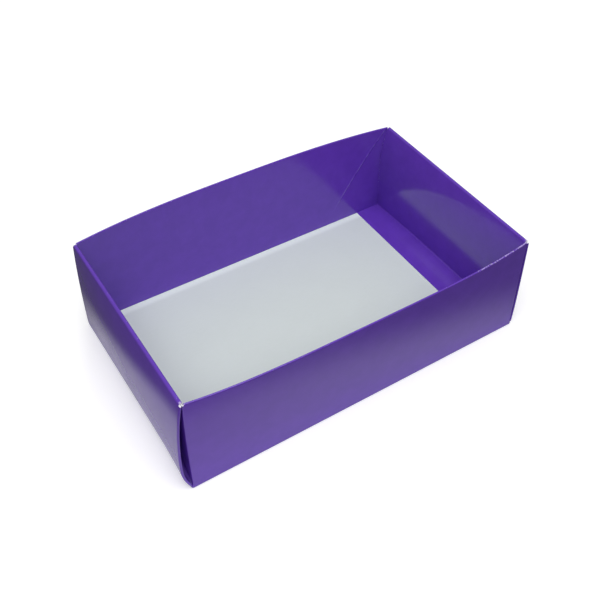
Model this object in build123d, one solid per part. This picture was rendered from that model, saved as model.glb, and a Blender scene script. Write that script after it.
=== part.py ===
from build123d import *
import os

# An open candy box base, folded from one sheet of printed boxboard.
# X is the length, Y the width, Z up. The origin is the middle of the underside.

# The box, outside
length = 178.0
width = 111.0
height = 53.5

# The sheet and how it folds
board = 0.4
ply_gap = 0.06
fold_radius = 0.3
panel_clearance = 0.15

# The long walls lean in at their corners and bow out along the rim
corner_lean = 1.5
front_bow = 3.9
back_bow = 5.4
bow_run = 45.0
bow_flatness = 0.9

# The end walls' rims stay sprung open, in degrees. Their inner panels belly into the box,
# stand off at the foot and turn in over the floor.
rim_spring = 15.0
end_foot = 3.0
flange_width = 13.0
flange_trim = 1.5

# The diagonal creases on the inner long panels, where the base folds flat
crease_width = 0.6
crease_depth = 0.12
crease_start = 3.0

# Worked out from the sizes above
half_length = length / 2
half_width = width / 2
bend = board + fold_radius
side_rim = 2 * board + ply_gap
end_rim = 4 * board + 3 * ply_gap
side_rim_base = height - side_rim / 2
end_rim_base = height - end_rim / 2
lean_slope = corner_lean / (side_rim_base - bend)
wall_end = half_length - 2 * board - 2 * ply_gap - bend
side_foot = bend + panel_clearance
edge_bead = board + ply_gap / 2
rim_round = 0.48 * side_rim
web_middle = half_length - 2 * board - 1.5 * ply_gap
web_bottom = bend + ply_gap
web_top = end_rim_base - ply_gap
flange_top = 2 * board + ply_gap
end_panel_foot = half_width - side_foot - board - panel_clearance
end_panel_rim = half_width - corner_lean - side_rim - panel_clearance


def ring(center, inner_radius, start_angle, turn):
    """Section of a fold: part of a ring as thick as the board."""
    outer = CenterArc(center, inner_radius + board, start_angle, turn)
    inner = CenterArc(center, inner_radius, start_angle, turn)
    return make_face(outer + inner + Line(outer @ 0, inner @ 0) + Line(outer @ 1, inner @ 1))


def band(line, inset, thickness):
    """Level strip beside a line: the line moved in, and again one thickness further."""
    near = Pos(0, -inset) * line
    far = Pos(0, -inset - thickness) * line
    return make_face(near + far + Line(near @ 0, far @ 0) + Line(near @ 1, far @ 1))


def leaned(level):
    """How far in a corner has leaned at a level."""
    return lean_slope * (level - bend)


def floor_panel():
    """The flat floor between the four floor folds."""
    return Pos(0, 0, board / 2) * Box(length - 2 * bend, width - 2 * bend, board)


def floor_line():
    """Outside of a long wall where it leaves its floor fold."""
    return Line((-wall_end, half_width), (wall_end, half_width))


def rim_line(bow):
    """Outside of a long wall's rim, bowed, seen from above."""
    corner = half_width - corner_lean
    shoulder = corner + bow * bow_flatness
    return Spline(
        (-wall_end, corner),
        (-wall_end + bow_run, shoulder),
        (0, corner + bow),
        (wall_end - bow_run, shoulder),
        (wall_end, corner),
    )


def long_wall(bow):
    """The back wall's pieces of the sheet: floor fold, outer panel, rim, inner panel."""
    rim = rim_line(bow)
    section = Plane.YZ * ring((half_width - bend, bend), fold_radius, -90, 90)
    floor_fold = Pos(-wall_end, 0, 0) * extrude(section, 2 * wall_end)
    outer = loft([Pos(0, 0, bend) * band(floor_line(), 0, board),
                  Pos(0, 0, side_rim_base) * band(rim, 0, board)], ruled=True)
    inner = loft([Pos(0, 0, board + ply_gap) * band(floor_line(), side_foot, board),
                  Pos(0, 0, side_rim_base) * band(rim, board + ply_gap, board)], ruled=True)
    crown = extrude(Pos(0, 0, side_rim_base) * band(rim, 0, side_rim), side_rim / 2)
    long_edges = crown.edges().group_by(Axis.Z)[-1].sort_by(Edge.length)[-2:]
    return [floor_fold, outer, inner, fillet(long_edges, rim_round)]


def diagonal_creases(bow):
    """Shallow creases down the back wall's inner panel, at 45 degrees from its rim corners."""
    inset = crease_depth - board
    skin = loft([Pos(0, 0, board + ply_gap) * band(floor_line(), side_foot - inset, board),
                 Pos(0, 0, side_rim_base) * band(rim_line(bow), side_rim - board - inset, board)],
                ruled=True)
    blade = Box(2 * height, width, crease_width)
    place = wall_end - crease_start - height / 2
    right = Pos(place, half_width, height / 2) * Rot(0, -45, 0) * blade
    return [skin & right, skin & mirror(right, Plane.YZ)]


def panel_section(foot, turn):
    """Section of an end wall's inner panel, from the end of the rolled rim down to its foot."""
    middle = Vector(half_length - end_rim / 2, end_rim_base)
    outward = Vector(1, 0).rotate(Axis.Z, turn)
    leaving = outward.rotate(Axis.Z, 90)
    faces = []
    for depth in (0, board):
        start = middle + outward * (end_rim / 2 - depth)
        end = Vector(foot + depth, flange_top + fold_radius)
        faces.append(Spline(start, end, tangents=(leaving, (0, -1))))
    inside, outside = faces
    return make_face(inside + outside + Line(inside @ 0, outside @ 0) + Line(inside @ 1, outside @ 1))


def end_panel_outline():
    """Block that cuts an end wall's inner panel to its tapering width."""
    low = flange_top + fold_radius
    outline = Polyline((-end_panel_foot, low), (end_panel_foot, low), (end_panel_rim, end_rim_base),
                       (end_panel_rim, height), (-end_panel_rim, height),
                       (-end_panel_rim, end_rim_base), close=True)
    return extrude(Plane.YZ * make_face(outline), length)


def end_wall():
    """The right end wall's pieces: floor fold, outer panel, rim, inner panel, foot fold, flange."""
    edge = half_width - edge_bead
    section = Plane.XZ * ring((half_length - bend, bend), fold_radius, -90, 90)
    floor_fold = Pos(0, edge, 0) * extrude(section, 2 * edge)
    outer_x = half_length - board / 2
    outer = loft([Pos(outer_x, 0, bend) * Rectangle(board, 2 * edge),
                  Pos(outer_x, 0, end_rim_base) * Rectangle(board, 2 * (edge - leaned(end_rim_base)))],
                 ruled=True)
    turn = 180 - rim_spring
    section = Plane.XZ * ring((half_length - end_rim / 2, end_rim_base), end_rim / 2 - board, 0, turn)
    rim = Pos(0, end_panel_rim, 0) * extrude(section, 2 * end_panel_rim)
    foot = half_length - end_foot
    section = Plane.XZ * panel_section(foot, turn)
    inner = Pos(0, end_panel_foot, 0) * extrude(section, 2 * end_panel_foot) & end_panel_outline()
    section = Plane.XZ * ring((foot - fold_radius, flange_top + fold_radius), fold_radius, -90, 90)
    foot_fold = Pos(0, end_panel_foot, 0) * extrude(section, 2 * end_panel_foot)
    free_edge = end_panel_foot - flange_trim
    outline = Polyline((foot - fold_radius, -end_panel_foot), (foot - fold_radius, end_panel_foot),
                       (foot - flange_width, free_edge), (foot - flange_width, -free_edge), close=True)
    flange = Pos(0, 0, board + ply_gap) * extrude(make_face(outline), board)
    return [floor_fold, outer, rim, inner, foot_fold, flange]


def corner_web():
    """The tucked web of the back right corner: two layers folded on each other along a diagonal."""
    climb = web_top - web_bottom
    bottom_lean = leaned(web_bottom)
    up_the_corner = Vector(0, -lean_slope * climb, climb)
    bead_y = half_width - edge_bead - bottom_lean
    hinge_y = half_width - bend - bottom_lean
    inner_x = half_length - 3 * board - 2 * ply_gap
    outer_x = half_length - 2 * board - ply_gap
    diagonal_foot = Vector(0, hinge_y, web_bottom)
    diagonal_head = diagonal_foot + up_the_corner - Vector(0, climb, 0)

    section = Pos(half_length - edge_bead, bead_y, web_bottom) * ring((0, 0), ply_gap / 2, 0, 180)
    bead = extrude(section, up_the_corner.length, dir=up_the_corner)
    section = Pos(wall_end, hinge_y, web_bottom) * ring((0, 0), fold_radius, 0, 90)
    turn = extrude(section, up_the_corner.length, dir=up_the_corner)

    bead_foot = Vector(0, bead_y, web_bottom)
    outline = Polyline(bead_foot, diagonal_foot, diagonal_head, bead_foot + up_the_corner, close=True)
    outer_layer = Pos(outer_x, 0, 0) * extrude(make_face(outline), board, dir=(1, 0, 0))
    outline = Polyline(diagonal_foot, diagonal_head, diagonal_foot + up_the_corner, close=True)
    inner_layer = Pos(inner_x, 0, 0) * extrude(make_face(outline), board, dir=(1, 0, 0))

    along = diagonal_head - diagonal_foot
    start = diagonal_foot + Vector(web_middle, 0, 0) - along.normalized() * bend
    fold_plane = Plane(start, (1, 0, 0), along)
    fold = extrude(fold_plane * ring((0, 0), ply_gap / 2, 180, 180), along.length + 2 * bend)
    levels = Pos(0, 0, (web_bottom + web_top) / 2) * Box(2 * length, 2 * width, climb)
    return [bead, turn, outer_layer, inner_layer, fold & levels]


def folded_base():
    """The whole sheet, folded."""
    ends = end_wall()
    web = corner_web()
    web += [mirror(piece, Plane.XZ) for piece in web]
    ends += web
    ends += [mirror(piece, Plane.YZ) for piece in ends]
    front = [mirror(piece, Plane.XZ) for piece in long_wall(front_bow)]
    creases = diagonal_creases(back_bow)
    creases += [mirror(piece, Plane.XZ) for piece in diagonal_creases(front_bow)]
    sheet = floor_panel() + long_wall(back_bow) + front + ends
    return sheet - creases


os.makedirs("parts", exist_ok=True)
base = folded_base()
print("solids", len(base.solids()), "volume", round(base.volume, 1), base.bounding_box())
export_step(base, "parts/candy_box_base.step")
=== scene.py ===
import math
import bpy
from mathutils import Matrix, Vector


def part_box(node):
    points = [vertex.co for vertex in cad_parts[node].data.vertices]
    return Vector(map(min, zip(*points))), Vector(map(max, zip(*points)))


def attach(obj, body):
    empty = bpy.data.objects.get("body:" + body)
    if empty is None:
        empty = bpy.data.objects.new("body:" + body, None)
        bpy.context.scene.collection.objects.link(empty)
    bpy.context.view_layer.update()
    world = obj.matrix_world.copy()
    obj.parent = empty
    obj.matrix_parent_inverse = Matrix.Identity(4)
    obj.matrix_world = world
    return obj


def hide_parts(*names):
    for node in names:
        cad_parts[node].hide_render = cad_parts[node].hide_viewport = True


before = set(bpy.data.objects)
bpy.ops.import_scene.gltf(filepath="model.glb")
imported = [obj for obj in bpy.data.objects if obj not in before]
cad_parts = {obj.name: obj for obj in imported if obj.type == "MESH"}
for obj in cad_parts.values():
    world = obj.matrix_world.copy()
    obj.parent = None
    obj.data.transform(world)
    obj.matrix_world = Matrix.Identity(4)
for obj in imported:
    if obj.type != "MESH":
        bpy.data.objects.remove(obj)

from types import SimpleNamespace

import bpy
import numpy as np
from mathutils import Matrix, Vector

bl_info = {
    "name": "Folded candy box base",
    "version": (1, 0, 0),
    "blender": (4, 5, 0),
    "location": "3D View > Sidebar > Box Base",
    "description": "An open box base folded from one sheet of glossy printed board, with its stage",
    "category": "Object",
}

# The sheet is worked out in millimetres and written to the mesh in metres. Sizes are in
# millimetres where nothing else is said.
MM = 0.001
NODE = "candy_box_base"
BODY = "root"

LOW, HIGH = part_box(NODE)
LENGTH = (HIGH.x - LOW.x) / MM
HEIGHT = (HIGH.z - LOW.z) / MM

# Numbers of the faces' materials on the sheet
PRINTED, CREASED, REVERSE, CUT = range(4)

# How many straight steps make up a fold, a floor fold, a layer of a web and a rim
FOLD_STEPS = 8
FLOOR_FOLD_STEPS = 6
WEB_STEPS = 4
RIM_STEPS = 12

# Distances between the mesh's lines: the finest, beside a fold, and the coarsest, in the middle,
# and how much longer each is than the one before
COLUMN_STEPS = (0.5, 3.0)
LEVEL_STEPS = (0.35, 2.4)
FLANGE_STEPS = (0.3, 2.0)
STEP_GROWTH = 1.6

# The corners: their radius at the floor, the climb over which a web opens out of one, and how
# deep a web is at the least
CORNER_RADIUS = 1.0
WEB_CLIMB = 1.4
LEAST_WEB = 0.05

# How far the end walls' rolled rims stay off the long walls, and how much further their inner
# panels reach at the foot
RIM_ROOM = 0.3
FOOT_REACH = 0.15

# The soft step in the end walls' inner panels: how far out it puts their feet, and the shares of
# the panels' height at which it lies and over which it turns
STEP_DEPTH = 0.3
STEP_HEIGHT = 0.47
STEP_TURN = 0.07

# The flanges' rise: the share of it that falls evenly from the front to the back, while the rest
# falls from mid width to both ends, and the share of the flange's width at which it is over
RISE_SKEW = 0.25
RISE_RUN = 0.8

# The powers at which the long walls' bows fall off towards their ends, and at which an end wall's
# swelling reaches in through the layers of its webs
BACK_BOW_POWER = 2.77
FRONT_BOW_POWER = 3.6
LAYER_POWER = 0.15

# How high the floor folds stand off what the box stands on, and how far in from them the floor
# comes down to it
EDGE_LIFT = 0.12
EDGE_RUN = 3.0

# How a web springs open: the share of the climb over which it does and the power of that, how far
# behind the front wall it dies away, and how far the front right one opens
SPRING_CLIMB = 0.12
SPRING_POWER = 1.5
SPRING_RUN = 24.0
RIGHT_SPRING = 0.5

# Wear, from 0 for none to about 1: along the rims, at the front rim's rubbed end, at the rims'
# corners other than the back right one, on the webs' outer folds, on the end walls' foot folds and
# on the free edges
RIM_WEAR = 0.45
RUBBED_END_WEAR = 1.0
CORNER_WEAR = 1.1
WEB_WEAR = 0.35
FOOT_WEAR = 0.55
FREE_EDGE_WEAR = 0.8

# How far each kind of wear spreads from its line, at what level the foot folds' line is and how
# far up and down it spreads there, and the places between which the rubbed end starts
RIM_SPREAD = 0.3
CORNER_SPREAD = 3.0
WEB_SPREAD = 0.35
FOOT_SPREAD = 0.5
FOOT_LEVEL = 1.6
FOOT_LEVEL_SPREAD = 0.8
RUBBED_END = (52.0, 60.0)

# Where a rim's corner is most worn: how far past the long wall's panel, and how far inside its face
CORNER_PAST = 1.0
CORNER_INSIDE = 0.5

# The inner long panels' diagonal creases: how far in from the end they meet the rim, how steep
# they are in degrees, the levels between which they fade in, how high their ridge is and how far
# to each side it reaches, the distances between which their rubbed line fades in, and how rubbed
# it is
CREASE_INSET = 2.3
CREASE_SLOPE = 56.0
CREASE_FADE = (7.0, 18.0)
CREASE_HEIGHT = 0.15
CREASE_REACH = 0.9
CREASE_LINE = (0.45, 0.1)
CREASE_WEAR = 0.2

# How much lighter and darker the ink is in its mottles, how much of it is gone where it is most
# worn, and how much rougher it is there
INK_MOTTLE = 0.06
INK_GONE = 0.8
WORN_ROUGHNESS = 0.4

# The painted light strips on the floor's bare side along the long walls, painted lighter for the light
# caught where the
# floor turns up to the folds: the distances from the middle between which they start, and how much
# lighter they are painted
PAINTED_LIGHT_STRIP_EDGE = (49.6, 52.6)
PAINTED_LIGHT_STRIP_GAIN = 0.2

# The palest part of the stage's floor, round the box: how much its left and front edges slant, and
# the places between which each edge fades in
PATCH_LEFT_SLANT = -0.45
PATCH_LEFT = (-132.0, -108.0)
PATCH_FRONT_SLANT = -0.19
PATCH_FRONT = (-98.0, -72.0)
PATCH_RIGHT = (160.0, 120.0)
PATCH_BACK = (130.0, 90.0)

# How pale the stage's floor is in that part and further off, and the share of its own white that
# the camera doesn't see in that part
PATCH_PALENESS = 0.85
FLOOR_PALENESS = 0.12
PATCH_DIMMING = 0.7

# The stage's floor in metres: how far it reaches from the middle, and how far below the box it is
FLOOR_REACH = 3.0
FLOOR_DROP = 0.00005

# The light: how strong the even fill is, and the lamp's side in metres, power in watts and place
# in metres
FILL_STRENGTH = 0.36
LAMP_SIDE = 0.7
LAMP_POWER = 4.9
LAMP_PLACE = (-0.10, -0.25, 0.70)

# The view solved on the box's corners: the camera's place in metres, its turn, dip and roll in
# degrees, and its focal length in pixels of an image this wide
CAMERA_PLACE = (-0.15707, -0.24518, 0.31449)
CAMERA_TURN = -32.635
CAMERA_DIP = 45.656
CAMERA_ROLL = 0.584
FOCAL_PIXELS = 862.53
IMAGE_PIXELS = 600
SENSOR_WIDTH = 36.0


def smooth_step(value, low, high):
    """From 0 at low to 1 at high, with level ends."""
    share = np.clip((value - low) / (high - low), 0.0, 1.0)
    return share * share * (3 - 2 * share)


def near(distance, spread):
    """From 1 at no distance to 0 well beyond the spread."""
    return np.exp(-(distance / spread) ** 2)


def graded(low, high, fine, coarse):
    """Values from low to high, close together near both ends."""
    steps = []
    step = fine
    while step < coarse:
        steps.append(step)
        step *= STEP_GROWTH
    middle = high - low - 2 * sum(steps)
    count = max(1, round(middle / coarse))
    steps = steps + [middle / count] * count + steps[::-1]
    return low + np.concatenate([[0.0], np.cumsum(steps)])


def arc(center, radius, start, end, steps):
    """Points of an arc after its first one; angles in degrees."""
    angles = np.radians(np.linspace(start, end, steps + 1)[1:])
    return np.stack([center[0] + radius * np.cos(angles), center[1] + radius * np.sin(angles)], -1)


def straight(start, end, steps):
    """Points of a straight run after its first one."""
    share = np.linspace(0.0, 1.0, steps + 1)[1:, None]
    return np.array(start) * (1 - share) + np.array(end) * share


class SheetSizes(bpy.types.PropertyGroup):
    """Sizes of the folded sheet"""

    board: bpy.props.FloatProperty(
        name="Board", description="Thickness of the board",
        unit="LENGTH", default=0.4 * MM, min=0.1 * MM, max=2.0 * MM)
    ply_gap: bpy.props.FloatProperty(
        name="Ply Gap", description="Air between two folded layers",
        unit="LENGTH", default=0.06 * MM, min=0.01 * MM, max=1.0 * MM)
    fold_radius: bpy.props.FloatProperty(
        name="Fold Radius", description="Inner radius of a square fold",
        unit="LENGTH", default=0.3 * MM, min=0.05 * MM, max=3.0 * MM)
    width: bpy.props.FloatProperty(
        name="Width", description="Width across the floor folds",
        unit="LENGTH", default=111.0 * MM, min=20.0 * MM, max=600.0 * MM)
    front_lean: bpy.props.FloatProperty(
        name="Front Lean", description="How far the front wall's corners lean in",
        unit="LENGTH", default=1.56 * MM)
    back_lean: bpy.props.FloatProperty(
        name="Back Lean", description="How far the back wall's corners lean in",
        unit="LENGTH", default=1.95 * MM)
    front_bow: bpy.props.FloatProperty(
        name="Front Bow", description="How far the front rim bows out",
        unit="LENGTH", default=3.9 * MM)
    back_bow: bpy.props.FloatProperty(
        name="Back Bow", description="How far the back rim bows out",
        unit="LENGTH", default=5.38 * MM)
    front_foot: bpy.props.FloatProperty(
        name="Front Foot", description="How far the front wall's left foot stands out",
        unit="LENGTH", default=1.0 * MM)
    left_lean: bpy.props.FloatProperty(
        name="Left Lean", description="How far the left end's rim leans in",
        unit="LENGTH", default=1.05 * MM)
    right_lean: bpy.props.FloatProperty(
        name="Right Lean", description="How far the right end's rim leans in",
        unit="LENGTH", default=-0.1 * MM)
    rim_spring: bpy.props.FloatProperty(
        name="Rim Spring", description="How far the end walls' rolled rims stay open",
        subtype="ANGLE", default=math.radians(15.0))
    end_foot: bpy.props.FloatProperty(
        name="End Foot", description="How far the end panels' feet stand off",
        unit="LENGTH", default=3.0 * MM)
    flange: bpy.props.FloatProperty(
        name="Flange", description="Width of the flange on the floor",
        unit="LENGTH", default=13.8 * MM)
    flange_rise: bpy.props.FloatProperty(
        name="Flange Rise", description="How far the flanges rise to their folds at mid width",
        unit="LENGTH", default=2.2 * MM)
    left_crown: bpy.props.FloatProperty(
        name="Left Crown", description="How far the left end's outer panel swells out",
        unit="LENGTH", default=2.2 * MM)
    right_crown: bpy.props.FloatProperty(
        name="Right Crown", description="How far the right end's outer panel swells out",
        unit="LENGTH", default=0.4 * MM)
    corner_spring: bpy.props.FloatProperty(
        name="Corner Spring", description="How far the front left web springs open",
        unit="LENGTH", default=3.6 * MM)


class SheetColours(bpy.types.PropertyGroup):
    """Colours of the board"""

    print_colour: bpy.props.FloatVectorProperty(
        name="Print", description="Colour of the printed side", subtype="COLOR",
        size=3, min=0, max=1, default=(0.122, 0.042, 0.44))
    reverse_colour: bpy.props.FloatVectorProperty(
        name="Reverse", description="Colour of the unprinted side", subtype="COLOR",
        size=3, min=0, max=1, default=(0.66, 0.72, 0.685))
    worn_colour: bpy.props.FloatVectorProperty(
        name="Worn Ink", description="Colour where the ink has cracked or rubbed off", subtype="COLOR",
        size=3, min=0, max=1, default=(0.48, 0.38, 0.72))
    cut_colour: bpy.props.FloatVectorProperty(
        name="Cut Edge", description="Colour of the cut edges", subtype="COLOR",
        size=3, min=0, max=1, default=(0.86, 0.85, 0.90))


def in_millimetres(sizes):
    """The sheet's lengths by name, as plain numbers in millimetres."""
    names = [name for name in sizes.__annotations__ if name != "rim_spring"]
    return SimpleNamespace(**{name: getattr(sizes, name) / MM for name in names})


class FoldedSheet:
    """The middle surface of the folded sheet, as rows of points that share their edges."""

    def __init__(self, sizes):
        self.points = []
        self.faces = []
        self.kinds = []
        self.sizes = in_millimetres(sizes)
        self.rim_spring = sizes.rim_spring
        self.half = self.sizes.board / 2
        self.hem = (self.sizes.board + self.sizes.ply_gap) / 2
        self.bend = self.sizes.fold_radius + self.half
        self.end_x = LENGTH / 2 - self.half
        self.side_y = self.sizes.width / 2 - self.half
        self.floor_z = self.half
        self.flange_z = self.floor_z + 2 * self.hem
        self.wall_low = self.floor_z + self.bend
        self.web_out = self.end_x - 2 * self.hem
        self.web_in = self.web_out - 2 * self.hem
        self.side_end = self.web_in - self.bend
        self.bead_y = self.side_y - self.hem
        self.side_top = HEIGHT - self.half - self.hem
        self.end_hem = 3 * self.hem
        self.end_top = HEIGHT - self.half - self.end_hem
        self.hem_end_y = self.side_y - 2 * self.hem - self.half - RIM_ROOM

    def add(self, points):
        """Adds points and gives their numbers."""
        first = len(self.points)
        self.points.extend(np.asarray(points, float).reshape(-1, 3))
        return np.arange(first, len(self.points))

    def skin(self, rows, closed=False, kind=PRINTED):
        """Faces between rows of point numbers; where rows climb, the printed side is on their left."""
        for low, high in zip(rows, rows[1:]):
            if closed:
                low = np.append(low, low[0])
                high = np.append(high, high[0])
            self.faces.extend(zip(low[:-1], high[:-1], high[1:], low[1:]))
            self.kinds.extend([kind] * (len(low) - 1))

    def tucked_web(self, level):
        """The tucked web at a level, from the side wall's turn round to the end wall's bead."""
        depth = max(level - self.wall_low, LEAST_WEB)
        turn_y = self.side_y - self.bend
        inner = turn_y - depth
        parts = [
            arc((self.side_end, turn_y), self.bend, 90, 0, FOLD_STEPS),
            straight((self.web_in, turn_y), (self.web_in, inner), WEB_STEPS),
            arc((self.web_in + self.hem, inner), self.hem, 180, 360, FOLD_STEPS),
            straight((self.web_out, inner), (self.web_out, self.bead_y), WEB_STEPS),
            arc((self.web_out + self.hem, self.bead_y), self.hem, 180, 0, FOLD_STEPS)[:-1],
        ]
        return np.concatenate(parts)

    def plain_corner(self, inset, count):
        """The plain rounded corner under the web, moved in by inset."""
        center = (self.end_x - CORNER_RADIUS, self.side_y - CORNER_RADIUS)
        return arc(center, CORNER_RADIUS - inset, 90, 0, count + 1)[:-1]

    def wall_level(self, level, inset):
        """One level of all the walls, clockwise from the back left corner.

        Gives its points' numbers, and the same numbers split into the four walls' and the four
        corners' runs.
        """
        open_web = smooth_step(level, self.wall_low, self.wall_low + WEB_CLIMB)
        tucked = self.tucked_web(level)
        corner = (1 - open_web) * self.plain_corner(inset, len(tucked)) + open_web * tucked
        plain_end = self.end_x - CORNER_RADIUS
        side_end = (1 - open_web) * plain_end + open_web * self.side_end
        plain_bead = self.side_y - CORNER_RADIUS
        bead_y = (1 - open_web) * plain_bead + open_web * self.bead_y
        side = self.side_columns * side_end
        end = self.end_columns * bead_y
        y = self.side_y - inset
        x = self.end_x - inset
        back = np.stack([side, np.full(len(side), y)], -1)
        right = np.stack([np.full(len(end), x), end[::-1]], -1)
        flip_x, flip_y = np.array([-1, 1]), np.array([1, -1])
        runs = [back, corner, right, corner[::-1] * flip_y, back[::-1] * flip_y,
                corner * flip_x * flip_y, right[::-1] * flip_x, corner[::-1] * flip_x]
        flat = np.concatenate(runs)
        points = np.column_stack([flat, np.full(len(flat), level)])
        numbers = self.add(points)
        ends = np.cumsum([0] + [len(run) for run in runs])
        return numbers, [numbers[a:b] for a, b in zip(ends, ends[1:])]

    def walls(self):
        """Floor folds and outer walls, up to the top of the webs."""
        side = graded(-self.side_end, self.side_end, *COLUMN_STEPS)
        self.side_columns = side / side[-1]
        end = graded(-self.hem_end_y, self.hem_end_y, *COLUMN_STEPS)
        end = np.concatenate([[-self.bead_y], end, [self.bead_y]])
        self.end_columns = end / end[-1]
        rows = []
        for angle in np.radians(np.linspace(90, 0, FLOOR_FOLD_STEPS + 1)):
            inset = self.bend * (1 - math.cos(angle))
            rows.append(self.wall_level(self.wall_low - self.bend * math.sin(angle), inset))
        for level in graded(self.wall_low, self.end_top, *LEVEL_STEPS)[1:]:
            rows.append(self.wall_level(level, 0.0))
        self.skin([row[0] for row in rows], closed=True)
        self.floor_runs = rows[0][1]
        self.top_runs = rows[-1][1]

    def floor(self):
        """The floor, printed side down."""
        back, corner_br, right, corner_fr, front, corner_fl, left, corner_bl = self.floor_runs
        columns = self.side_columns * (self.end_x - CORNER_RADIUS)
        lines = self.end_columns * (self.side_y - CORNER_RADIUS)
        grid_x, grid_y = np.meshgrid(columns, lines, indexing="ij")
        flat = np.column_stack([grid_x.ravel(), grid_y.ravel(), np.full(grid_x.size, self.floor_z)])
        grid = self.add(flat).reshape(grid_x.shape)
        self.skin([right[::-1], *grid[::-1], left])
        self.skin([grid[:, -1], back])
        self.skin([front[::-1], grid[:, 0]])
        self.faces.append([grid[-1, -1], back[-1], *corner_br, right[0]])
        self.faces.append([grid[-1, 0], right[-1], *corner_fr, front[0]])
        self.faces.append([grid[0, 0], front[-1], *corner_fl, left[0]])
        self.faces.append([grid[0, -1], left[-1], *corner_bl, back[0]])
        self.kinds.extend([PRINTED] * 4)

    def side_panel(self, run, side):
        """Rim and inner panel of a long wall; side is 1 at the back and -1 at the front."""
        foot_y = self.side_y - 2 * self.hem - self.sizes.fold_radius
        rim_y = self.side_y - 2 * self.hem
        profile = [(self.side_y, self.side_top)]
        profile.extend(arc((self.side_y - self.hem, self.side_top), self.hem, 0, 180, RIM_STEPS))
        for level in graded(self.flange_z, self.side_top, *LEVEL_STEPS)[::-1][1:]:
            share = (self.side_top - level) / (self.side_top - self.flange_z)
            profile.append((rim_y + (foot_y - rim_y) * share, level))
        columns = self.side_columns * self.side_end * side
        rows = [run]
        for y, z in profile:
            rows.append(self.add([(x, y * side, z) for x in columns]))
        self.skin(rows[:RIM_STEPS])
        self.skin(rows[RIM_STEPS - 1:], kind=CREASED)

    def end_panel(self, run, side):
        """Rim, inner panel, foot fold and floor flange of an end wall; side is 1 at the right."""
        crest_x = self.end_x - self.end_hem
        foot_x = LENGTH / 2 - self.sizes.end_foot + self.half
        fold_z = self.flange_z + self.bend
        foot_y = self.hem_end_y + FOOT_REACH
        turn = 180 - math.degrees(self.rim_spring)
        profile = [(x, z, self.hem_end_y, 0.0) for x, z in
                   arc((crest_x, self.end_top), self.end_hem, 0, turn, RIM_STEPS)]
        hem_x, hem_z = profile[-1][:2]
        for level in graded(fold_z, hem_z, *LEVEL_STEPS)[::-1][1:]:
            share = (level - fold_z) / (hem_z - fold_z)
            reach = foot_y + (self.hem_end_y - foot_y) * share
            x = self.panel_x(share, foot_x, hem_x, hem_z - fold_z)
            profile.append((x, level, reach, 1 - share))
        for x, z in arc((foot_x - self.bend, fold_z), self.bend, 0, -90, FOLD_STEPS):
            profile.append((x, z, foot_y, 1.0))
        free_x = LENGTH / 2 - self.sizes.end_foot - self.sizes.flange
        for x in graded(free_x, foot_x - self.bend, *FLANGE_STEPS)[::-1][1:]:
            share = (foot_x - self.bend - x) / (foot_x - self.bend - free_x)
            profile.append((x, self.flange_z, foot_y, 1 - smooth_step(share, 0.0, RISE_RUN)))
        inner = self.end_columns[1:-1]
        columns = inner[::-1] / inner[-1] * side
        rows = [run[1:-1]]
        for x, z, reach, lift in profile:
            y = columns * reach
            across = y / self.side_y
            skewed = 1 - RISE_SKEW * across - (1 - RISE_SKEW) * across ** 2
            rise = self.sizes.flange_rise * skewed * lift
            rows.append(self.add(np.column_stack([np.full(len(y), x * side), y, z + rise])))
        self.skin(rows)

    def panel_x(self, share, foot_x, hem_x, rise):
        """How far out an end wall's inner panel is, from its foot at share 0 to its rim at share 1."""
        leave = rise * math.tan(self.rim_spring)
        offset = hem_x - foot_x
        curve = foot_x + (3 * offset - leave) * share ** 2 + (leave - 2 * offset) * share ** 3
        below_step = (1 - math.tanh((share - STEP_HEIGHT) / STEP_TURN)) / 2
        return curve + STEP_DEPTH * below_step * (1 - share)

    def fold(self):
        """All of the sheet, before it settles."""
        self.walls()
        self.floor()
        back, _, right, _, front, _, left, _ = self.top_runs
        self.side_panel(back, 1)
        self.side_panel(front, -1)
        self.end_panel(right, 1)
        self.end_panel(left, -1)
        return np.array(self.points)

    def settle(self, points):
        """The points moved by the bows, leans and swellings of walls that have sprung back."""
        sizes = self.sizes
        x, y, z = points.T
        climb = np.clip((z - self.wall_low) / (self.side_top - self.wall_low), 0.0, None)
        along = np.clip(np.abs(x) / self.side_end, 0.0, 1.0)
        back = y > 0
        power = np.where(back, BACK_BOW_POWER, FRONT_BOW_POWER)
        bow = np.where(back, sizes.back_bow, sizes.front_bow) * (1 - along ** power)
        lean = np.where(back, sizes.back_lean, sizes.front_lean)
        to_left = np.clip((self.side_end - x) / (2 * self.side_end), 0.0, 1.0)
        below_rim = np.clip(1 - climb, 0.0, 1.0)
        foot = sizes.front_foot * to_left * (y < 0) * below_rim
        new_y = y + ((bow - lean) * climb + foot) * y / self.side_y

        lean = np.where(x > 0, sizes.right_lean, sizes.left_lean) * climb ** 3
        layer = np.clip((np.abs(x) - self.web_in) / (self.end_x - self.web_in), 0.0, 1.0)
        belly = self.end_belly(x, y, climb) * layer ** LAYER_POWER
        new_x = x - lean * x / self.end_x + np.sign(x) * belly

        inset = np.minimum(self.end_x - self.bend - np.abs(x), self.side_y - self.bend - np.abs(y))
        lift = EDGE_LIFT * (1 - smooth_step(inset, 0.0, EDGE_RUN)) * below_rim
        return np.stack([new_x, new_y, z + lift], -1)

    def end_belly(self, x, y, climb):
        """How far an end wall's outer panel springs out."""
        climb = np.clip(climb, 0, 1)
        spring = (1 - climb ** 3) * (1 - np.exp(-(climb / SPRING_CLIMB) ** SPRING_POWER))
        to_front = np.exp(-(y + self.side_y) / SPRING_RUN)
        front_corner = np.where(x < 0, self.sizes.corner_spring, RIGHT_SPRING)
        crown = np.where(x < 0, self.sizes.left_crown, self.sizes.right_crown)
        middle = crown * (1 - (y / self.side_y) ** 2) * 4 * climb * (1 - climb)
        return spring * front_corner * to_front + middle

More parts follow.
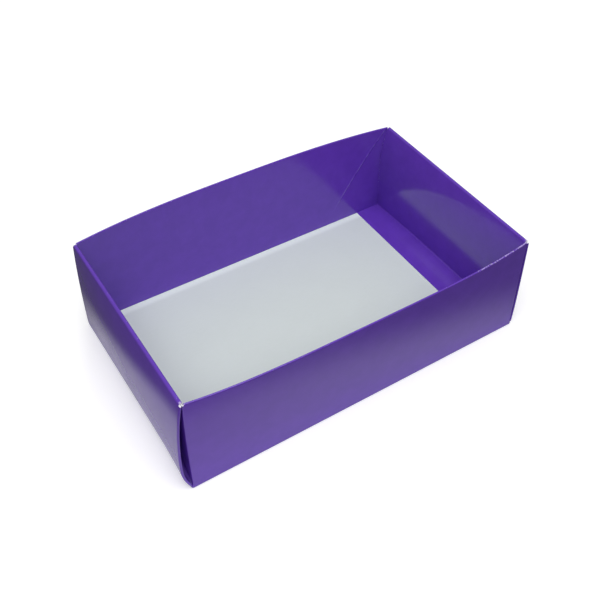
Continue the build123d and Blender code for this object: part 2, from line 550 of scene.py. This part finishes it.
    def worn(self, points):
        """How worn each point is: most on the rims, less on the other folds and the free edges."""
        x, y, z = points.T
        rubbed_end = smooth_step(x, *RUBBED_END) * (y < -self.hem_end_y)
        along_rim = RIM_WEAR + (RUBBED_END_WEAR - RIM_WEAR) * rubbed_end
        past = np.abs(x) - self.side_end - CORNER_PAST
        inside = np.abs(y) - self.side_y + CORNER_INSIDE
        all_but_back_right = (x < 0) | (y < 0)
        at_corner = CORNER_WEAR * near(np.hypot(past, inside), CORNER_SPREAD) * all_but_back_right
        rim = near(z - HEIGHT + self.half, RIM_SPREAD) * np.maximum(along_rim, at_corner)
        web = WEB_WEAR * near(np.abs(y) - self.side_y, WEB_SPREAD) * (np.abs(x) > self.side_end)
        foot_x = LENGTH / 2 - self.sizes.end_foot
        foot = near(np.abs(x) - foot_x, FOOT_SPREAD) * near(z - FOOT_LEVEL, FOOT_LEVEL_SPREAD)
        free = np.zeros(len(points))
        free[[corner for edge in open_edges(self.faces) for corner in edge]] = FREE_EDGE_WEAR
        return np.max([rim, web, FOOT_WEAR * foot, free], axis=0)


def face_normals(points, faces):
    """The faces' normals, each as long as its face is large."""
    normals = np.zeros((len(faces), 3))
    for number, face in enumerate(faces):
        here = points[face]
        following = np.roll(here, -1, axis=0)
        normals[number] = np.cross(here, following).sum(0) / 2
    return normals


def point_normals(points, faces):
    """Unit normals at the points."""
    normals = np.zeros_like(points)
    for face, normal in zip(faces, face_normals(points, faces)):
        normals[face] += normal
    return normals / np.linalg.norm(normals, axis=1)[:, None]


def open_edges(faces):
    """Edges with one face only, in the direction of that face."""
    edges = {}
    for face in faces:
        for start, end in zip(face, [*face[1:], face[0]]):
            if (end, start) in edges:
                del edges[(end, start)]
            else:
                edges[(start, end)] = True
    return list(edges)


def sheet_mesh(name, sizes):
    """The folded sheet as one closed mesh, as thick as the board, with its wear on its points."""
    sheet = FoldedSheet(sizes)
    flat_folded = sheet.fold()
    points = sheet.settle(flat_folded)
    faces = [[int(corner) for corner in face] for face in sheet.faces]
    normals = point_normals(points, faces)
    count = len(points)
    outer = points + normals * sheet.half
    inner = points - normals * sheet.half
    all_faces = faces + [[corner + count for corner in face[::-1]] for face in faces]
    kinds = sheet.kinds + [REVERSE] * len(faces)
    cut_edges = open_edges(faces)
    for start, end in cut_edges:
        all_faces.append([end, start, start + count, end + count])
        kinds.append(CUT)
    mesh = bpy.data.meshes.new(name)
    mesh.from_pydata((np.concatenate([outer, inner]) * MM).tolist(), [], all_faces)
    mesh.polygons.foreach_set("material_index", kinds)
    mesh.polygons.foreach_set("use_smooth", [True] * len(all_faces))
    rims = {frozenset(edge) for edge in cut_edges}
    rims |= {frozenset((start + count, end + count)) for start, end in cut_edges}
    sharp = [frozenset(edge.vertices) in rims for edge in mesh.edges]
    mesh.edges.foreach_set("use_edge_sharp", sharp)
    worn = mesh.attributes.new("worn", "FLOAT", "POINT")
    worn.data.foreach_set("value", np.tile(sheet.worn(flat_folded), 2))
    mesh.validate()
    mesh.update()
    return mesh


def socket_colour(colour, share=1.0):
    """A colour for a socket, darkened or lightened by a share, and solid."""
    return (*(share * part for part in colour), 1)


class Wiring:
    """Adds nodes to a tree and links them up."""

    # A Mix node's sockets for colours: its share and two colours, and its result
    MIX_INPUTS = (0, 6, 7)
    MIX_RESULT = 2

    def __init__(self, tree):
        self.tree = tree

    def node(self, kind, inputs=(), **settings):
        """A node with its inputs set or linked; inputs is a dictionary by name or number."""
        made = self.tree.nodes.new("ShaderNode" + kind)
        for name, value in settings.items():
            setattr(made, name, value)
        for name, value in dict(inputs).items():
            self.join(value, made.inputs[name])
        return made

    def join(self, value, socket):
        """Links a socket to an input, or sets the input to a plain value."""
        if isinstance(value, bpy.types.NodeSocket):
            self.tree.links.new(value, socket)
        else:
            socket.default_value = value

    def math(self, operation, *values):
        """The result of a Math node."""
        return self.node("Math", dict(enumerate(values)), operation=operation).outputs[0]

    def smooth(self, value, low, high):
        """From 0 at low to 1 at high, with level ends."""
        inputs = {"Value": value, "From Min": low, "From Max": high}
        return self.node("MapRange", inputs, interpolation_type="SMOOTHSTEP").outputs[0]

    def blend(self, share, first, second):
        """A colour between two colours."""
        inputs = dict(zip(self.MIX_INPUTS, (share, first, second)))
        return self.node("Mix", inputs, data_type="RGBA").outputs[self.MIX_RESULT]

    def millimetres(self):
        """The place on the object, in millimetres."""
        place = self.node("TexCoord").outputs["Object"]
        return self.node("VectorMath", {0: place, "Scale": 1 / MM}, operation="SCALE").outputs[0]

    def noise(self, place, size, detail=2.0, roughness=0.5):
        """Soft noise round 0.5 with features of a size, which is a number or a socket."""
        scale = 1 / size if isinstance(size, float) else self.math("DIVIDE", 1.0, size)
        inputs = {"Vector": place, "Scale": scale, "Detail": detail, "Roughness": roughness}
        return self.node("TexNoise", inputs).outputs["Fac"]


def new_group(name, inputs, outputs):
    """An empty node group with named number sockets: its tree, wiring, input node and output node."""
    tree = bpy.data.node_groups.new(name, "ShaderNodeTree")
    for socket_name, default in inputs:
        socket = tree.interface.new_socket(socket_name, in_out="INPUT", socket_type="NodeSocketFloat")
        socket.default_value = default
    for socket_name in outputs:
        tree.interface.new_socket(socket_name, in_out="OUTPUT", socket_type="NodeSocketFloat")
    return tree, Wiring(tree), tree.nodes.new("NodeGroupInput"), tree.nodes.new("NodeGroupOutput")


def place_group(wiring, tree, **values):
    """Puts a group in a material with the material's own values."""
    made = wiring.node("Group", node_tree=tree)
    for name, value in values.items():
        wiring.join(value, made.inputs[name.replace("_", " ").title()])
    return made


def board_surface_group():
    """Slow buckles of the board and the fine peel of its varnish, as one height in millimetres."""
    tree, wiring, given, result = new_group(
        "board_surface",
        [("Buckle", 0.05), ("Peel", 0.001), ("Peel Size", 0.8)],
        ["Height"])
    place = wiring.millimetres()
    slow = wiring.math("MULTIPLY", wiring.noise(place, 34.0, detail=1.0), given.outputs["Buckle"])
    peel = wiring.noise(place, given.outputs["Peel Size"])
    fine = wiring.math("MULTIPLY", peel, given.outputs["Peel"])
    wiring.join(wiring.math("ADD", slow, fine), result.inputs["Height"])
    return tree


def varnish_group():
    """Roughness of the varnish: handling haze in soft patches and faint rubbed scratches."""
    tree, wiring, given, result = new_group(
        "varnish_handling",
        [("Clean", 0.2), ("Haze", 0.1), ("Scratch", 0.1)],
        ["Roughness"])
    place = wiring.millimetres()
    haze = wiring.smooth(wiring.noise(place, 16.0, detail=4.0, roughness=0.6), low=0.42, high=0.72)
    along = {"Vector": place, "Rotation": (0.5, 0.3, 0.7), "Scale": (0.06, 1.4, 1.4)}
    stretched = wiring.node("Mapping", along).outputs[0]
    scratch = wiring.smooth(wiring.noise(stretched, 0.9), low=0.62, high=0.72)
    total = wiring.math("MULTIPLY_ADD", haze, given.outputs["Haze"], given.outputs["Clean"])
    total = wiring.math("MULTIPLY_ADD", scratch, given.outputs["Scratch"], total)
    wiring.join(total, result.inputs["Roughness"])
    return tree


def fold_wear_group():
    """Where the ink has cracked and rubbed off: specks along folds and cut edges."""
    tree, wiring, given, result = new_group(
        "fold_wear",
        [("Amount", 1.0), ("Speck Size", 0.7)],
        ["Mask"])
    place = wiring.millimetres()
    worn = wiring.node("Attribute", attribute_name="worn").outputs["Fac"]
    specks = wiring.noise(place, given.outputs["Speck Size"], detail=4.0, roughness=0.65)
    patch_share = 0.5
    patchy = wiring.math("MULTIPLY_ADD", wiring.noise(place, 11.0), patch_share, specks)
    reach = wiring.math("MULTIPLY", worn, given.outputs["Amount"])
    unworn_level = 1.12
    worn_drop = 0.45
    level = wiring.math("MULTIPLY_ADD", reach, -worn_drop, unworn_level)
    above = wiring.math("SUBTRACT", patchy, level)
    wiring.join(wiring.smooth(above, low=0.0, high=0.1), result.inputs["Mask"])
    return tree


def paper_fibre_group():
    """Fibres of bare paper: a shade round 1 and a height in millimetres."""
    tree, wiring, given, result = new_group(
        "paper_fibre",
        [("Contrast", 0.05), ("Fibre Size", 0.5), ("Relief", 0.004)],
        ["Shade", "Height"])
    place = wiring.millimetres()
    warp = wiring.node("TexNoise", {"Vector": place, "Scale": 0.35, "Detail": 2.0}).outputs["Color"]
    reach = (3.0, 3.0, 0.0)
    bent = wiring.node("VectorMath", {0: warp, 1: reach, 2: place}, operation="MULTIPLY_ADD").outputs[0]
    stretched = wiring.node("Mapping", {"Vector": bent, "Scale": (0.22, 1.0, 1.0)}).outputs[0]
    fibres = wiring.noise(stretched, given.outputs["Fibre Size"], detail=3.0, roughness=0.7)
    cloud_share = 0.8
    both = wiring.math("MULTIPLY_ADD", wiring.noise(place, 18.0, detail=3.0), cloud_share, fibres)
    centred = wiring.math("SUBTRACT", both, (1 + cloud_share) / 2)
    shade = wiring.math("MULTIPLY_ADD", centred, given.outputs["Contrast"], 1.0)
    wiring.join(shade, result.inputs["Shade"])
    wiring.join(wiring.math("MULTIPLY", fibres, given.outputs["Relief"]), result.inputs["Height"])
    return tree


def new_material(name):
    """An empty node material, the wiring of its tree and its Principled shader."""
    material = bpy.data.materials.new(name)
    material.use_nodes = True
    return material, Wiring(material.node_tree), material.node_tree.nodes["Principled BSDF"]


def bump(wiring, shader, height):
    """Turns a height in millimetres into the shader's normal."""
    made = wiring.node("Bump", {"Height": height, "Distance": MM, "Strength": 1.0})
    wiring.join(made.outputs["Normal"], shader.inputs["Normal"])


def shade_colour(wiring, shader, colour, shade):
    """Gives the shader a colour times a shade that changes over the surface."""
    shaded = wiring.node("VectorMath", {0: tuple(colour), "Scale": shade}, operation="SCALE")
    wiring.join(shaded.outputs[0], shader.inputs["Base Color"])


def printed_material(name, colours, groups, crease=False):
    """Gloss purple print under varnish, with worn folds, and a crease where it is asked for."""
    material, wiring, shader = new_material(name)
    place = wiring.millimetres()
    shader.inputs["IOR"].default_value = 1.5
    mottle = wiring.smooth(wiring.noise(place, 7.0, detail=5.0, roughness=0.65), low=0.25, high=0.8)
    ink = wiring.blend(mottle, socket_colour(colours.print_colour, 1 - INK_MOTTLE),
                       socket_colour(colours.print_colour, 1 + INK_MOTTLE))
    wear = place_group(wiring, groups["wear"], amount=1.0, speck_size=0.7)
    surface = place_group(wiring, groups["surface"], buckle=0.06, peel=0.0012, peel_size=0.9)
    varnish = place_group(wiring, groups["varnish"], clean=0.14, haze=0.05, scratch=0.04)
    height = surface.outputs["Height"]
    worn_ink = socket_colour(colours.worn_colour)
    if crease:
        ridge, line = diagonal_crease(wiring, place)
        ink = wiring.blend(line, ink, worn_ink)
        height = wiring.math("ADD", height, ridge)
    worn = wear.outputs["Mask"]
    colour = wiring.blend(wiring.math("MULTIPLY", worn, INK_GONE), ink, worn_ink)
    wiring.join(colour, shader.inputs["Base Color"])
    roughness = wiring.math("MULTIPLY_ADD", worn, WORN_ROUGHNESS, varnish.outputs["Roughness"])
    wiring.join(roughness, shader.inputs["Roughness"])
    bump(wiring, shader, height)
    return material


def diagonal_crease(wiring, place):
    """The crease down from the right rim corners: its height in millimetres and its rubbed line."""
    parts = wiring.node("SeparateXYZ", {0: place})
    x, level = parts.outputs["X"], parts.outputs["Z"]
    rise, run = math.sin(math.radians(CREASE_SLOPE)), math.cos(math.radians(CREASE_SLOPE))
    corner = LENGTH / 2 - CREASE_INSET
    across = wiring.math("MULTIPLY_ADD", x, rise, HEIGHT * run - corner * rise)
    distance = wiring.math("ABSOLUTE", wiring.math("MULTIPLY_ADD", level, -run, across))
    kept = wiring.smooth(level, *CREASE_FADE)
    height = wiring.math("MULTIPLY", kept, CREASE_HEIGHT)
    ridge = wiring.math("MULTIPLY", wiring.smooth(distance, CREASE_REACH, 0.0), height)
    broken = wiring.smooth(wiring.noise(place, 3.0, detail=3.0), low=0.35, high=0.65)
    line = wiring.math("MULTIPLY", wiring.smooth(distance, *CREASE_LINE), broken)
    return ridge, wiring.math("MULTIPLY", line, wiring.math("MULTIPLY", kept, CREASE_WEAR))


def reverse_material(colours, groups):
    """Bare pale reverse with faint fibres, and a strip of painted light along each long wall where the
    floor turns up.
    """
    material, wiring, shader = new_material("unprinted_reverse")
    fibre = place_group(wiring, groups["fibre"], contrast=0.06, fibre_size=0.6, relief=0.004)
    across = wiring.node("SeparateXYZ", {0: wiring.millimetres()}).outputs["Y"]
    # Painted light: the bare floor is painted lighter in a strip along each long wall, for the light
    # caught where it turns up to the fold
    painted_light_strip = wiring.smooth(wiring.math("ABSOLUTE", across), *PAINTED_LIGHT_STRIP_EDGE)
    fibre_and_painted_light = wiring.math("MULTIPLY_ADD", painted_light_strip, PAINTED_LIGHT_STRIP_GAIN, fibre.outputs["Shade"])
    shade_colour(wiring, shader, colours.reverse_colour, fibre_and_painted_light)
    surface = place_group(wiring, groups["surface"], buckle=0.04, peel=0.002, peel_size=0.5)
    # Its roughness is round 0.6, and less where the fibres are lighter
    roughness = wiring.math("MULTIPLY_ADD", fibre.outputs["Shade"], -0.6, 1.2)
    wiring.join(roughness, shader.inputs["Roughness"])
    bump(wiring, shader, wiring.math("ADD", fibre.outputs["Height"], surface.outputs["Height"]))
    return material


def cut_material(colours, groups):
    """Raw cut edge of the board, with loose fibres."""
    material, wiring, shader = new_material("cut_board_edge")
    fibre = place_group(wiring, groups["fibre"], contrast=0.35, fibre_size=0.25, relief=0.03)
    shade_colour(wiring, shader, colours.cut_colour, fibre.outputs["Shade"])
    shader.inputs["Roughness"].default_value = 0.9
    bump(wiring, shader, fibre.outputs["Height"])
    return material


def sheet_materials(colours):
    """The sheet's materials, in the order of their numbers."""
    groups = {
        "surface": board_surface_group(),
        "varnish": varnish_group(),
        "wear": fold_wear_group(),
        "fibre": paper_fibre_group(),
    }
    return [
        printed_material("printed_gloss_board", colours, groups),
        printed_material("printed_creased_board", colours, groups, crease=True),
        reverse_material(colours, groups),
        cut_material(colours, groups),
    ]


class BOXBASE_OT_fold_sheet(bpy.types.Operator):
    """Folds the box base from its one sheet of board"""

    bl_idname = "boxbase.fold_sheet"
    bl_label = "Fold the Sheet"

    def execute(self, context):
        mesh = sheet_mesh("folded_box_base", context.scene.boxbase_sizes)
        colours = context.scene.boxbase_colours
        for material in sheet_materials(colours):
            mesh.materials.append(material)
        piece = bpy.data.objects.new("folded_box_base", mesh)
        context.scene.collection.objects.link(piece)
        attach(piece, BODY)
        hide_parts(NODE)
        return {"FINISHED"}


class BOXBASE_OT_set_stage(bpy.types.Operator):
    """Sets the pale floor, the soft light and the camera"""

    bl_idname = "boxbase.set_stage"
    bl_label = "Set the Stage"

    def execute(self, context):
        scene = context.scene
        scene.view_settings.view_transform = "Standard"
        make_floor(scene)
        make_light(scene)
        make_camera(scene)
        return {"FINISHED"}


def make_floor(scene):
    """A wide pale floor, white to the camera away from the object's shadow."""
    mesh = bpy.data.meshes.new("pale_floor")
    square = ((-1, -1, 0), (1, -1, 0), (1, 1, 0), (-1, 1, 0))
    mesh.from_pydata([Vector(corner) * FLOOR_REACH for corner in square], [], [(0, 1, 2, 3)])
    floor = bpy.data.objects.new("pale_floor", mesh)
    floor.location.z = -FLOOR_DROP
    scene.collection.objects.link(floor)
    material, wiring, shader = new_material("pale_floor")
    shader.inputs["Roughness"].default_value = 0.9
    shader.inputs["Specular IOR Level"].default_value = 0.1
    shader.inputs["Emission Color"].default_value = (1, 1, 1, 1)
    paler = pale_patch(wiring)
    far, near_box = (socket_colour((1, 1, 1), share) for share in (FLOOR_PALENESS, PATCH_PALENESS))
    wiring.join(wiring.blend(paler, far, near_box), shader.inputs["Base Color"])
    own_white = wiring.math("MULTIPLY_ADD", paler, -PATCH_DIMMING, 1.0)
    seen = wiring.node("LightPath").outputs["Is Camera Ray"]
    wiring.join(wiring.math("MULTIPLY", seen, own_white), shader.inputs["Emission Strength"])
    mesh.materials.append(material)


def pale_patch(wiring):
    """From 0 to 1: where the floor is palest, round the foot of the box."""
    parts = wiring.node("SeparateXYZ", {0: wiring.millimetres()})
    x, y = parts.outputs["X"], parts.outputs["Y"]
    left = wiring.smooth(wiring.math("MULTIPLY_ADD", y, PATCH_LEFT_SLANT, x), *PATCH_LEFT)
    front = wiring.smooth(wiring.math("MULTIPLY_ADD", x, PATCH_FRONT_SLANT, y), *PATCH_FRONT)
    across = wiring.math("MULTIPLY", left, wiring.smooth(x, *PATCH_RIGHT))
    along = wiring.math("MULTIPLY", front, wiring.smooth(y, *PATCH_BACK))
    return wiring.math("MULTIPLY", across, along)


def make_light(scene):
    """A soft overhead light and an even fill."""
    world = bpy.data.worlds.new("soft_fill")
    world.use_nodes = True
    background = world.node_tree.nodes["Background"]
    background.inputs["Color"].default_value = (1, 1, 1, 1)
    background.inputs["Strength"].default_value = FILL_STRENGTH
    scene.world = world
    lamp = bpy.data.lights.new("overhead_softbox", "AREA")
    lamp.shape = "SQUARE"
    lamp.size = LAMP_SIDE
    lamp.energy = LAMP_POWER
    light = bpy.data.objects.new("overhead_softbox", lamp)
    light.location = LAMP_PLACE
    light.rotation_euler = (-light.location).to_track_quat("-Z", "Y").to_euler()
    scene.collection.objects.link(light)


def make_camera(scene):
    """The camera, from the view solved on the box's corners."""
    data = bpy.data.cameras.new("camera")
    data.sensor_width = SENSOR_WIDTH
    data.lens = FOCAL_PIXELS / IMAGE_PIXELS * SENSOR_WIDTH
    data.clip_start = 0.01
    camera = bpy.data.objects.new("camera", data)
    turn, dip, roll = (math.radians(angle) for angle in (CAMERA_TURN, CAMERA_DIP, CAMERA_ROLL))
    ahead = Vector((-math.sin(turn), math.cos(turn), 0))
    forward = math.cos(dip) * ahead - math.sin(dip) * Vector((0, 0, 1))
    level = Vector((math.cos(turn), math.sin(turn), 0))
    upright = level.cross(forward)
    right = math.cos(roll) * level + math.sin(roll) * upright
    up = -math.sin(roll) * level + math.cos(roll) * upright
    facing = Matrix((right, up, -forward)).transposed()
    camera.matrix_world = Matrix.Translation(CAMERA_PLACE) @ facing.to_4x4()
    scene.collection.objects.link(camera)
    scene.camera = camera


class BOXBASE_PT_panel(bpy.types.Panel):
    """Steps and sizes of the box base"""

    bl_idname = "BOXBASE_PT_panel"
    bl_label = "Box Base"
    bl_space_type = "VIEW_3D"
    bl_region_type = "UI"
    bl_category = "Box Base"

    def draw(self, context):
        layout = self.layout
        for group in (context.scene.boxbase_sizes, context.scene.boxbase_colours):
            for name in group.__annotations__:
                layout.prop(group, name)
        layout.operator(BOXBASE_OT_fold_sheet.bl_idname)
        layout.operator(BOXBASE_OT_set_stage.bl_idname)


CLASSES = (SheetSizes, SheetColours, BOXBASE_OT_fold_sheet, BOXBASE_OT_set_stage, BOXBASE_PT_panel)


def register():
    """Registers the classes and gives the scene the sizes and colours."""
    for cls in CLASSES:
        bpy.utils.register_class(cls)
    bpy.types.Scene.boxbase_sizes = bpy.props.PointerProperty(type=SheetSizes)
    bpy.types.Scene.boxbase_colours = bpy.props.PointerProperty(type=SheetColours)


def unregister():
    """Takes away what register gives."""
    del bpy.types.Scene.boxbase_colours
    del bpy.types.Scene.boxbase_sizes
    for cls in reversed(CLASSES):
        bpy.utils.unregister_class(cls)


def main():
    """Makes the piece and its stage."""
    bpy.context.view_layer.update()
    register()
    bpy.ops.boxbase.fold_sheet()
    bpy.ops.boxbase.set_stage()


if __name__ == "__main__":
    main()
